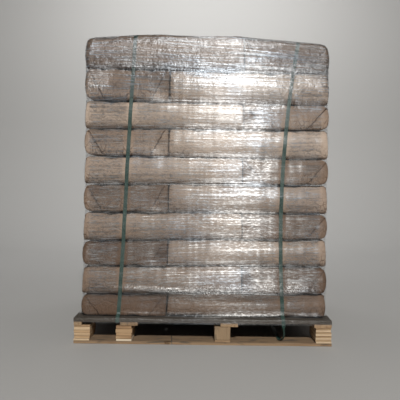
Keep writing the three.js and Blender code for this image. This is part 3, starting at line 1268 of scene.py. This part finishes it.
@dataclass
class FilmWrap:
    """The stretch film: a skin pulled tight round the load, sunk a little into its hollows.

    It turns the load's corners with corner_radius, and with edge_radius from edge_half outwards.
    """

    stack: SettledStack
    gathers: tuple[Gather, ...] = (
        Gather(-0.47, 1.13, 0.05, 0.05, 0.45),
        Gather(-0.35, 1.24, 0.07, 0.05, 0.5),
        Gather(0.42, 1.23, 0.12, 0.06, 0.8),
        Gather(0.49, 1.16, 0.04, 0.05, 0.7),
        Gather(0.30, 1.06, 0.10, 0.03, 0.6),
        Gather(0.17, 0.216, 0.26, 0.026, 0.70, 0.014, 0.03),
        Gather(-0.22, 0.226, 0.16, 0.009, 1.1, 0.004, -0.055),
    )
    clearings: tuple[Gather, ...] = (
        Gather(-0.38, 0.14, 0.26, 0.07, 1.0),
        Gather(-0.02, 0.14, 0.20, 0.05, 0.85),
        Gather(0.30, 0.13, 0.20, 0.035, 0.7),
        Gather(0.48, 0.17, 0.08, 0.05, 0.8),
        Gather(0.07, 0.84, 0.13, 0.22, 0.46),
        Gather(-0.24, 1.27, 0.20, 0.07, 0.55),
        Gather(0.02, 1.26, 0.12, 0.06, 0.25),
        Gather(0.36, 1.27, 0.15, 0.07, 0.45),
        Gather(-0.42, 1.15, 0.12, 0.05, 0.4),
        Gather(0.42, 0.97, 0.12, 0.05, 0.5),
    )
    side_columns: int = 90
    corner_columns: int = 6
    row_step: float = 0.008
    gap: float = 0.0014
    over_sacks: float = 0.0018
    over_straps: float = 0.0004
    corner_radius: float = 0.022
    edge_radius: float = 0.006
    lip_radius: float = 0.018
    edge_half: float = 0.552
    edge_blend: float = 0.024
    lip_blend: float = 0.05
    lip_end: float = 0.432
    edge_start: float = 0.004
    wrinkle: float = 0.0011
    wrinkle_squash: Triple = (0.16, 0.16, 1.0)
    wrinkle_waves: tuple[float, float] = (0.045, 0.022)
    rounds: int = 420
    pull: float = 0.00009
    deepest: float = 0.030

    def profile(self, winding: Line, rim: float) -> list[tuple[float, float]]:
        """The film's line up the load, from its lower rim to the end of its lip."""
        line = [(winding[0][0], rim), *winding, (self.lip_end, winding[-1][1])]
        return resample([(r + self.gap, z) for r, z in line], self.row_step, closed=False)

    def build(self, profile: Line, load: Sequence[Object], straps: Sequence[Object],
              material: Material) -> Object:
        """Makes the film.

        Args:
            profile: its line up the load.
            load: the sacks and timber that it is pulled over.
            straps: the straps that it is pulled over.
            material: the film's finish.

        Returns:
            The film.
        """
        rows, columns = len(profile), 4 * (self.side_columns + self.corner_columns)
        bm = bmesh.new()
        bmesh.ops.create_grid(bm, x_segments=columns, y_segments=rows - 1, size=1.0)
        mesh = mesh_from(bm, "stretch_wrap", True)
        grid = points_of(mesh) * 0.5 + 0.5
        column = np.rint(grid[:, 0] * columns).astype(int)
        row = np.rint(grid[:, 1] * (rows - 1)).astype(int)
        places = self._skin(profile, columns, load, straps)[row, column % columns]
        move_points(mesh, places)
        self._map(mesh, row, column, profile)
        height = np.array([z for _, z in profile])[row]
        levels = self.stack.levels
        veil = 0.75 * ease(height, levels[-3] - 0.06, levels[-2] + 0.03)
        veil += 0.25 * ease(height, levels[4], levels[-3])
        paint(mesh, "veil", veil)
        paint(mesh, "bunch", self._gathered(places, height))
        paint(mesh, "clear", self._cleared(places, height, straps))
        bm = bmesh.new()
        bm.from_mesh(mesh)
        bmesh.ops.remove_doubles(bm, verts=bm.verts[:], dist=1e-6)
        bmesh.ops.recalc_face_normals(bm, faces=bm.faces[:])
        bm.to_mesh(mesh)
        bm.free()
        piece = publish(mesh, "stretch_wrap", material, ["stretch_film"])
        return piece

    def _skin(self, profile: Line, columns: int, load: Sequence[Object],
              straps: Sequence[Object]) -> np.ndarray:
        """The film's places by row and column.

        Args:
            profile: its line up the load.
            columns: how many places each row has.
            load: the sacks and timber under it.
            straps: the straps under it.

        Returns:
            The places, pulled in, wrinkled and gathered.
        """
        where, outward = self._shell(profile, columns)
        where = self.stack.move(where.reshape(-1, 3)).reshape(where.shape)
        over_load = self._bridged(self._room(where, outward, load, self.over_sacks))
        room = np.minimum(over_load, self._room(where, outward, straps, self.over_straps))
        taut = ease(where[:, 0, 2], self.stack.levels[-3], self.stack.levels[-2])
        depth = self._pulled_in(room, self.pull * (1.0 - 0.7 * taut)[:, None])
        flat = where.reshape(-1, 3) * np.array(self.wrinkle_squash)
        long, short = self.wrinkle_waves
        wave = ripple(flat, long, 5)[:, 0] * 0.5 + ripple(flat, short, 6)[:, 1] * 0.5
        wrinkle = np.clip(wave, 0.0, None).reshape(room.shape) * self.wrinkle
        skin = where + outward * (wrinkle - depth)[:, :, None]
        for gather in self.gathers:
            if gather.lift > 0.0:
                share = gather.strength(skin.reshape(-1, 3), self.stack.half_side) / gather.amount
                share = share.reshape(room.shape)
                rise = share * gather.lift + np.minimum(share * 1.4, 1.0) * np.maximum(depth, 0.0)
                skin += outward * rise[:, :, None]
        return skin

    def _shell(self, profile: Line, columns: int) -> tuple[np.ndarray, np.ndarray]:
        """The film before it is pulled in.

        Args:
            profile: its line up the load.
            columns: how many places each row has.

        Returns:
            The places and the way out at each, by row and column.
        """
        line = np.array(profile)
        slope = np.gradient(line, axis=0)
        slope /= np.linalg.norm(slope, axis=1)[:, None]
        out_r, out_z = slope[:, 1], -slope[:, 0]
        where = np.empty((len(line), columns, 3))
        outward = np.empty_like(where)
        for row, (half, height) in enumerate(profile):
            radius = self._radius(half)
            straight = half - radius
            for column in range(columns):
                quarter, place = divmod(column, self.side_columns + self.corner_columns)
                turn = (quarter - 1) * math.pi / 2
                if place < self.side_columns:
                    way = 0.0
                    spot = (half, (place / self.side_columns * 2.0 - 1.0) * straight)
                else:
                    way = (place - self.side_columns) / self.corner_columns * math.pi / 2
                    spot = (straight + radius * math.cos(way), straight + radius * math.sin(way))
                cos, sin = math.cos(turn), math.sin(turn)
                where[row, column] = (spot[0] * cos - spot[1] * sin, spot[0] * sin + spot[1] * cos, height)
                flat = (math.cos(turn + way), math.sin(turn + way))
                outward[row, column] = (flat[0] * out_r[row], flat[1] * out_r[row], out_z[row])
        return where, outward

    def _radius(self, half: float) -> float:
        """How round the film turns the load's corners.

        Args:
            half: how far from the middle it stands.

        Returns:
            The radius, smaller at the deck's edge and on the lip.
        """
        wall = self.corner_radius
        if half > self.stack.half_side + self.edge_start:
            share = min(1.0, max(0.0, (self.edge_half - half) / self.edge_blend))
            return self.edge_radius + (wall - self.edge_radius) * share
        share = min(1.0, max(0.0, (self.stack.half_side - 0.03 - half) / self.lip_blend))
        return wall + (self.lip_radius - wall) * share

    def _room(self, where: np.ndarray, outward: np.ndarray, held: Sequence[Object],
              spare: float) -> np.ndarray:
        """How far in the film could go before it nearly met some pieces.

        Args:
            where: its places by row and column.
            outward: the way out at each.
            held: the pieces.
            spare: how clear of them it stays.

        Returns:
            A distance for each place.
        """
        probe = Probe(held, self.deepest)
        ways = zip(where.reshape(-1, 3), outward.reshape(-1, 3))
        return np.array([probe.room(place, way) for place, way in ways]).reshape(where.shape[:2]) - spare

    @staticmethod
    def _bridged(room: np.ndarray, reach: int = 2) -> np.ndarray:
        """Evens the room out along the turns, without letting the film sink deeper anywhere.

        Args:
            room: how far in each place may go.
            reach: how many columns are taken together to each side.

        Returns:
            The evened room.
        """
        shifts = range(-reach, reach + 1)
        least = np.min([np.roll(room, shift, axis=1) for shift in shifts], axis=0)
        return np.mean([np.roll(least, shift, axis=1) for shift in shifts], axis=0)

    def _pulled_in(self, room: np.ndarray, pull: np.ndarray) -> np.ndarray:
        """Relaxes the skin inwards like a stretched membrane.

        Args:
            room: how far in each place may go.
            pull: how hard each row is drawn in.

        Returns:
            How far in each place lies.
        """
        depth = np.minimum(room, 0.0)
        for _ in range(self.rounds):
            above = np.vstack([depth[:1], depth[:-1]])
            below = np.vstack([depth[1:], depth[-1:]])
            beside = (np.roll(depth, 1, axis=1) + np.roll(depth, -1, axis=1)) / 2
            depth = np.minimum(room, 0.62 * beside + 0.38 * (above + below) / 2 + pull)
        return depth

    def _map(self, mesh: Mesh, row: np.ndarray, column: np.ndarray, profile: Line) -> None:
        """Lays out metres along the turns and metres up the load as a UV map.

        Args:
            mesh: the film.
            row: each vertex's row.
            column: each vertex's column.
            profile: the film's line up the load.
        """
        climbed = np.concatenate([[0.0], np.cumsum([math.dist(a, b) for a, b in zip(profile, profile[1:])])])
        straight = 2 * (self.stack.half_side - self.corner_radius)
        arc = self.corner_radius * math.pi / 2
        quarter, place = np.divmod(column, self.side_columns + self.corner_columns)
        along = quarter * (straight + arc)
        along = along + np.minimum(place, self.side_columns) / self.side_columns * straight
        along = along + np.maximum(place - self.side_columns, 0) / self.corner_columns * arc
        corner = np.empty(len(mesh.loops), int)
        mesh.loops.foreach_get("vertex_index", corner)
        for spare in [layer.name for layer in mesh.uv_layers]:
            mesh.uv_layers.remove(mesh.uv_layers[spare])
        uv = np.column_stack([along, climbed[row]])[corner]
        mesh.uv_layers.new(name="wind").data.foreach_set("uv", uv.astype(np.float32).ravel())

    def _gathered(self, points: np.ndarray, height: np.ndarray) -> np.ndarray:
        """How much the film is gathered and crumpled.

        Args:
            points: the film's places.
            height: their heights in the true stack.

        Returns:
            A number from 0 to about 1 for each place.
        """
        deck, top = self.stack.levels[0], self.stack.levels[-1]
        total = 0.36 * (1.0 - ease(height, deck - 0.004, deck + 0.02))
        total += 0.25 * ease(height, self.stack.levels[-3], top)
        total += 0.5 * ease(height, top - 0.016, top + 0.004)
        return total + sum(gather.strength(points, self.stack.half_side) for gather in self.gathers)

    def _cleared(self, points: np.ndarray, height: np.ndarray, straps: Sequence[Object]) -> np.ndarray:
        """Where the film is so tight that what is under it shows clearly.

        Args:
            points: the film's places.
            height: their heights in the true stack.
            straps: the straps under it.

        Returns:
            A number from 0 to 1 for each place.
        """
        verts = [vert.co for strap in straps for vert in strap.data.vertices]
        tree = KDTree(len(verts))
        for index, place in enumerate(verts):
            tree.insert(place, index)
        tree.balance()
        away = np.array([tree.find(Vector(point))[2] for point in points])
        half, deck, below_top = self.stack.half_side, self.stack.levels[0], self.stack.levels[-3]
        near_strap = (1.0 - ease(away, 0.009, 0.018)) * (1.0 - ease(height, below_top, below_top + 0.08))
        at_deck = 1.0 - ease(height, deck + 0.004, deck + 0.03)
        at_corner = ease(np.abs(points[:, :2]).min(axis=1), half - 0.045, half - 0.025)
        at_corner *= 1.0 - ease(height, below_top - 0.05, below_top + 0.08)
        spots = [spot.strength(points, half) for spot in self.clearings]
        return np.maximum.reduce([near_strap * 0.78, at_deck * 0.8, at_corner * 0.9, *spots])


# Pallet


@dataclass(frozen=True)
class Ply:
    """One layer of a block: its share of the height, and how bright and how orange it is."""

    share: float
    tone: float
    warmth: float


def plies(*rows: Triple) -> tuple[Ply, ...]:
    """Layers from the bottom up, from rows of share, tone and warmth."""
    return tuple(Ply(*row) for row in rows)


@dataclass
class PalletTimber:
    """The pallet's boards, bearers and blocks, each sawn a little differently.

    The bearers are given as middle and width, the bottom boards as node, tone and warmth, and the warp
    for short and long waves.
    """

    deck_boards: int = 7
    deck_width: float = 0.100
    bearer_thickness: float = 0.015
    bearers: tuple[tuple[float, float], ...] = (
        (-0.533, 0.034), (-0.314, 0.075), (0.112, 0.075), (0.5125, 0.075),
    )
    edge_round: float = 0.0015
    clearance: float = 0.0002
    warp: tuple[float, float] = (0.0006, 0.0007)
    trim: float = 0.0028
    ply_gap: float = 0.0010
    slant: float = 0.006
    slant_reach: float = 0.05
    closed_up: float = 0.0022
    soiled: float = 0.40
    soiled_depth: float = 0.004
    charred: float = 1.4
    charred_depth: float = 0.0009
    bottom_boards: tuple[tuple[str, float, float], ...] = (
        ("bottom_board_front_left", 0.62, 0.60),
        ("bottom_board_front_right", 0.66, 0.55),
        ("bottom_board_middle", 0.60, 0.45),
        ("bottom_board_back", 0.70, 0.50),
    )
    stacked: tuple[Ply, ...] = plies(
        (0.14, 1.25, 0.02), (0.17, 1.00, 0.30), (0.20, 1.14, 0.20), (0.18, 0.98, 0.33),
        (0.20, 1.20, 0.10), (0.11, 0.76, 0.50),
    )
    patched: tuple[Ply, ...] = plies(
        (0.13, 1.60, 0.00), (0.20, 0.88, 0.42), (0.19, 0.80, 0.65), (0.26, 0.96, 0.45), (0.20, 0.70, 0.80),
    )
    whole: tuple[Ply, ...] = plies((0.14, 0.62, 0.30), (0.86, 0.38, 0.34))
    plywood: tuple[Ply, ...] = plies(
        (0.13, 1.30, 0.10), (0.10, 0.86, 0.25), (0.14, 1.26, 0.06), (0.10, 0.82, 0.30),
        (0.15, 1.24, 0.10), (0.10, 0.80, 0.28), (0.15, 1.26, 0.08), (0.12, 0.76, 0.40),
    )

    def build(self, material: Material) -> list[Object]:
        """Makes every timber piece.

        Args:
            material: the sawn timber.

        Returns:
            The pieces of the deck, which the film is pulled over.
        """
        self._blocks(material)
        self._bottom_boards(material)
        return self._deck(material)

    def sawn(self, low: Triple, high: Triple, grain: Grain, seed: int, tone: float, warmth: float) -> BMesh:
        """One sawn length of timber as a bmesh.

        Args:
            low: its lowest corner.
            high: its highest corner.
            grain: the way the grain runs.
            seed: a different board for each number.
            tone: how clean and bright it is.
            warmth: how orange it is.

        Returns:
            The bmesh, with its attributes.
        """
        start, end = Vector(low), Vector(high)
        size = end - start
        place = Matrix.Translation((end + start) / 2) @ Matrix.Diagonal((*size, 1.0))
        bm = bmesh.new()
        bmesh.ops.create_cube(bm, size=1.0, matrix=place)
        rounding = {"offset": min(self.edge_round, min(size) * 0.2), "segments": 2}
        bmesh.ops.bevel(bm, geom=bm.edges[:], affect="EDGES", profile=0.5, material=-1, **rounding)
        steps = {
            Grain.ACROSS: (0.045, 0.02, 1.0),
            Grain.DEPTH: (0.02, 0.045, 1.0),
            Grain.UPRIGHT: (0.02, 0.02, 0.03),
        }
        for axis, step in enumerate(steps[grain]):
            count = int(size[axis] / step)
            cut_grid(bm, axis, [start[axis] + size[axis] * (i + 1) / (count + 1) for i in range(count)])
        points = np.array([v.co[:] for v in bm.verts])
        shift = ripple(points, 0.09, seed) * self.warp[0] + ripple(points, 0.3, seed + 1) * self.warp[1]
        shift[:, 2] *= 0.35
        offset = np.random.default_rng(seed).uniform(0.0, 9.0, 3)
        layers = bm.verts.layers
        tone_layer, warmth_layer = layers.float.new("tone"), layers.float.new("warmth")
        grain_layer = layers.float_vector.new("grain")
        for vert, spot in zip(bm.verts, np.clip(points + shift, np.array(low), np.array(high))):
            vert.co = spot
            vert[grain_layer] = Vector([spot[axis] + offset[i] for i, axis in enumerate(grain.value)])
            vert[tone_layer] = tone
            vert[warmth_layer] = warmth
        return bm

    @staticmethod
    def _publish(parts: Sequence[BMesh], name: str, material: Material, node: str) -> Object:
        """Joins sawn lengths into one piece.

        Args:
            parts: the lengths.
            name: the piece's name.
            material: the sawn timber.
            node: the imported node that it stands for.

        Returns:
            The piece.
        """
        joined = bmesh.new()
        for layer in ("tone", "warmth"):
            joined.verts.layers.float.new(layer)
        joined.verts.layers.float_vector.new("grain")
        for part in parts:
            scratch = bpy.data.meshes.new("scratch")
            part.to_mesh(scratch)
            part.free()
            joined.from_mesh(scratch)
            bpy.data.meshes.remove(scratch)
        return publish(mesh_from(joined, name, False), name, material, [node])

    def _blocks(self, material: Material) -> None:
        """Makes the twelve blocks, some sawn whole and some built up from thin layers.

        Args:
            material: the sawn timber.
        """
        kinds = {
            "front": (self.stacked, self.patched, self.whole, self.plywood),
            "middle": (self.whole, self.plywood, self.stacked, self.whole),
            "back": (self.plywood, self.whole, self.patched, self.stacked),
        }
        for row, (name, column_kinds) in enumerate(kinds.items()):
            for column, layers in enumerate(column_kinds):
                node = f"block_{name}_{column + 1}"
                parts = self._layered(*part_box(node), layers, 900 + row * 40 + column * 9)
                self._publish(parts, f"timber_{node}", material, node)

    def _layered(self, low: Triple, high: Triple, layers: Sequence[Ply], seed: int) -> list[BMesh]:
        """Saws a block's layers, each cut a little longer or shorter than the next.

        Args:
            low: the block's lowest corner.
            high: its highest corner.
            layers: its layers from the bottom up.
            seed: a different block for each number.

        Returns:
            The layers from the bottom up.
        """
        draws = np.random.default_rng(seed)
        total = sum(ply.share for ply in layers)
        base = low[2]
        parts = []
        for index, ply in enumerate(layers):
            top = base + (high[2] - low[2]) * ply.share / total
            trim = draws.uniform(0.0, self.trim, 4)
            corner_low = (low[0] + trim[0], low[1] + trim[1], base)
            corner_high = (high[0] - trim[2], high[1] - trim[3], top - self.ply_gap)
            grain = Grain.UPRIGHT if top - base > 0.04 else Grain.ACROSS
            parts.append(self.sawn(corner_low, corner_high, grain, seed + index, ply.tone, ply.warmth))
            base = top
        return parts

    def _bottom_boards(self, material: Material) -> None:
        """Makes the four lengths that lie on the floor, soiled on top.

        Args:
            material: the sawn timber.
        """
        for index, (node, tone, warmth) in enumerate(self.bottom_boards):
            low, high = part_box(node)
            board = self.sawn(low, high, Grain.ACROSS, 700 + index, tone, warmth)
            self._slant_joint(board, node, low, high)
            tone_layer = board.verts.layers.float["tone"]
            for vert in board.verts:
                vert[tone_layer] -= self.soiled * (vert.co.z > high[2] - self.soiled_depth)
            self._publish([board], f"timber_{node}", material, node)

    def _slant_joint(self, board: BMesh, node: str, low: Triple, high: Triple) -> None:
        """Shears and darkens the butt end of a front board, which runs back a little to the left.

        Args:
            board: the board.
            node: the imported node's name, which tells the board's side.
            low: the board's lowest corner.
            high: its highest corner.
        """
        tone = board.verts.layers.float["tone"]
        for vert in board.verts:
            depth = (vert.co.y - low[1]) / (high[1] - low[1])
            if node.endswith("front_left"):
                back = self.slant * depth
                vert.co.x -= back * float(ease(vert.co.x, high[0] - self.slant_reach, high[0]))
                vert[tone] -= self.charred * (high[0] - vert.co.x < back + self.charred_depth)
            if node.endswith("front_right"):
                back = self.slant * (1.0 - depth) - self.closed_up
                vert.co.x += back * float(1.0 - ease(vert.co.x, low[0], low[0] + self.slant_reach))
                vert[tone] -= self.charred * (vert.co.x - low[0] < back + self.charred_depth)

    def _deck(self, material: Material) -> list[Object]:
        """Makes the deck boards and the bearers under them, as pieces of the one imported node.

        Args:
            material: the sawn timber.

        Returns:
            The bearers and the boards.
        """
        low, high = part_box("top_deck")
        bearer_top = low[2] + self.bearer_thickness
        draws = np.random.default_rng(60)
        pieces = []
        for index, (middle, width) in enumerate(self.bearers):
            corner_low = (middle - width / 2, low[1], low[2] + self.clearance)
            corner_high = (middle + width / 2, high[1], bearer_top - self.clearance)
            shade = (draws.uniform(0.35, 0.6), draws.uniform(0.25, 0.6))
            part = self.sawn(corner_low, corner_high, Grain.DEPTH, 800 + index, *shade)
            pieces.append(self._publish([part], f"timber_bearer_{index + 1}", material, "top_deck"))
        pitch = (high[1] - low[1] - self.deck_width) / (self.deck_boards - 1)
        for index in range(self.deck_boards):
            front = low[1] + index * pitch
            corner_low = (low[0], front, bearer_top + self.clearance)
            corner_high = (high[0], front + self.deck_width, high[2])
            # the deck boards' tone lies below nothing, which darkens them grey and towards near black
            shade = (draws.uniform(-0.55, -0.35), draws.uniform(0.3, 0.7))
            part = self.sawn(corner_low, corner_high, Grain.ACROSS, 820 + index, *shade)
            pieces.append(self._publish([part], f"timber_deck_board_{index + 1}", material, "top_deck"))
        return pieces


# Studio and camera


@dataclass
class PhotoCamera:
    """The photograph's viewpoint, worked out from the pallet's corners."""

    distance: float = 2.384
    height: float = 0.689
    aside: float = -0.0186
    pitch_degrees: float = 1.72
    roll_degrees: float = 0.72
    focal_pixels: float = 565.0
    photo_width: float = 400.0
    sensor: float = 36.0

    def place(self) -> None:
        """Makes the scene's camera."""
        data = bpy.data.cameras.new("photo_camera")
        data.sensor_width = self.sensor
        data.lens = self.sensor * self.focal_pixels / self.photo_width
        camera = bpy.data.objects.new("photo_camera", data)
        bpy.context.scene.collection.objects.link(camera)
        stand = Matrix.Translation((self.aside, cad_box[0][1] - self.distance, self.height))
        tilt = Matrix.Rotation(math.radians(90.0 - self.pitch_degrees), 4, "X")
        roll = Matrix.Rotation(math.radians(self.roll_degrees), 4, "Z")
        camera.matrix_world = stand @ tilt @ roll
        bpy.context.scene.camera = camera


@dataclass(frozen=True)
class SoftLamp:
    """A soft rectangular lamp: degrees to the right of the front and up, as seen from its target."""

    name: str
    target: Triple
    azimuth: float
    elevation: float
    distance: float
    size: tuple[float, float]
    watts: float
    colour: Triple

    def hang(self) -> None:
        """Adds the lamp to the scene."""
        turn, lift = math.radians(self.azimuth), math.radians(self.elevation)
        away = Vector((math.sin(turn) * math.cos(lift), -math.cos(turn) * math.cos(lift), math.sin(lift)))
        data = bpy.data.lights.new(self.name, "AREA")
        data.shape = "RECTANGLE"
        data.size, data.size_y = self.size
        data.energy = self.watts
        data.color = self.colour
        lamp = bpy.data.objects.new(self.name, data)
        lamp.location = Vector(self.target) + away * self.distance
        lamp.rotation_euler = away.to_track_quat("Z", "Y").to_euler()
        bpy.context.scene.collection.objects.link(lamp)


@dataclass
class Studio:
    """A pale floor that curves up behind, and soft lamps on the sunny side of the photograph."""

    floor_reach: float = 7.0
    floor_drop: float = 0.0005
    curve_start: float = 2.6
    curve_radius: float = 1.5
    sky: Triple = (0.80, 0.86, 0.95)
    sky_strength: float = 0.05
    lamps: tuple[SoftLamp, ...] = (
        SoftLamp("key", (0.0, -0.5, 0.7), 5.0, 36.0, 8.0, (0.8, 0.64), 620.0, (1.0, 0.98, 0.945)),
        SoftLamp("fill", (0.0, -0.5, 0.7), 60.0, 25.0, 5.0, (2.0, 2.0), 7.0, (0.92, 0.96, 1.0)),
        SoftLamp("backdrop", (0.0, 4.4, 0.8), 0.0, 50.0, 3.4, (3.0, 0.8), 70.0, (1.0, 1.0, 1.0)),
    )

    def build(self, floor_finish: Material) -> None:
        """Makes the floor, the sky light and the lamps.

        Args:
            floor_finish: the floor's paint.
        """
        self._floor(floor_finish)
        world = bpy.data.worlds.new("studio_sky")
        world.use_nodes = True
        background = world.node_tree.nodes["Background"]
        background.inputs["Color"].default_value = (*self.sky, 1.0)
        background.inputs["Strength"].default_value = self.sky_strength
        bpy.context.scene.world = world
        for lamp in self.lamps:
            lamp.hang()
        bpy.context.scene.view_settings.view_transform = "Standard"

    def _floor(self, finish: Material) -> None:
        """Makes a floor whose far edge sweeps up into a backdrop.

        Args:
            finish: its paint.
        """
        bm = bmesh.new()
        bmesh.ops.create_grid(bm, x_segments=4, y_segments=60, size=self.floor_reach)
        for vert in bm.verts:
            beyond = vert.co.y - self.curve_start
            if beyond > 0.0:
                angle = min(beyond / self.curve_radius, math.pi / 2)
                rise = max(0.0, beyond - self.curve_radius * math.pi / 2)
                vert.co.y = self.curve_start + self.curve_radius * math.sin(angle)
                vert.co.z = self.curve_radius * (1.0 - math.cos(angle)) + rise * 2.0
            vert.co.z -= self.floor_drop
            vert.co.x *= 1.6
        floor = bpy.data.objects.new("studio_floor", mesh_from(bm, "studio_floor", True))
        floor.data.materials.append(finish)
        bpy.context.scene.collection.objects.link(floor)


@dataclass(frozen=True)
class Winding:
    """The line that film and straps follow up the load.

    The insets of its crown are given by their rise up the top layer.
    """

    film_inset: float = 0.0021
    clear: float = 0.0003
    foot: tuple[float, float] = (0.006, 0.008)
    wall_start: float = 0.022
    insets: tuple[tuple[float, float], ...] = (
        (0.5, 0.0), (0.85, 0.008), (0.95, 0.014), (1.0, 0.026), (1.04, 0.050), (1.065, 0.080),
    )

    def line(self, stack: SettledStack) -> list[tuple[float, float]]:
        """Works the line out.

        Args:
            stack: how the load has settled.

        Returns:
            Points as distance from the middle and height.
        """
        film_low, film_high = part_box("stretch_film")
        edge = (film_high[0] - film_low[0]) / 2 - self.film_inset
        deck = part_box("top_deck")[1][2]
        half = stack.half_side + self.clear
        below_top = stack.levels[-2]
        tall = (stack.levels[-1] - below_top) / self.insets[-1][0]
        crown = [(half - inset, below_top + rise * tall + self.clear) for rise, inset in self.insets]
        foot = (half + self.foot[0], deck + self.foot[1])
        return [(edge, deck + self.clear), foot, (half, deck + self.wall_start), *crown]


def main() -> None:
    """Builds the camera, the load and the studio in order."""
    logging.basicConfig(level=logging.INFO, format="%(name)s %(message)s")
    PhotoCamera().place()
    stack = SettledStack()
    log.info("layers at %s", [round(level, 3) for level in stack.levels])
    deck = PalletTimber().build(SawnTimber().material())
    sacks = SackLoad(stack).build(KraftPaper().material())
    strapping = EmbossedStrapping().material()
    winding = Winding().line(stack)
    deck_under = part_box("strap_left")[0][2] + StrapRoute.thickness
    board_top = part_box("strap_right")[0][2] + StrapRoute.thickness
    routes = (
        StrapRoute("strap_band_left", "strap_left", lambda z: -0.369 + 0.0515 * z, slack=False),
        StrapRoute("strap_band_right", "strap_right", lambda z: 0.352 - 0.1 * z + 0.1 * z * z, slack=True),
    )
    probe = Probe(sacks, 0.03)
    straps = []
    for route in routes:
        straps.append(route.build(route.outline(winding, deck_under, board_top), stack, probe, strapping))
    film = FilmWrap(stack)
    profile = film.profile(winding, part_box("stretch_film")[0][2])
    film.build(profile, [*sacks, *deck], straps, WoundFilm().material())
    Studio().build(PalePaint().material())


if __name__ == "__main__":
    main()
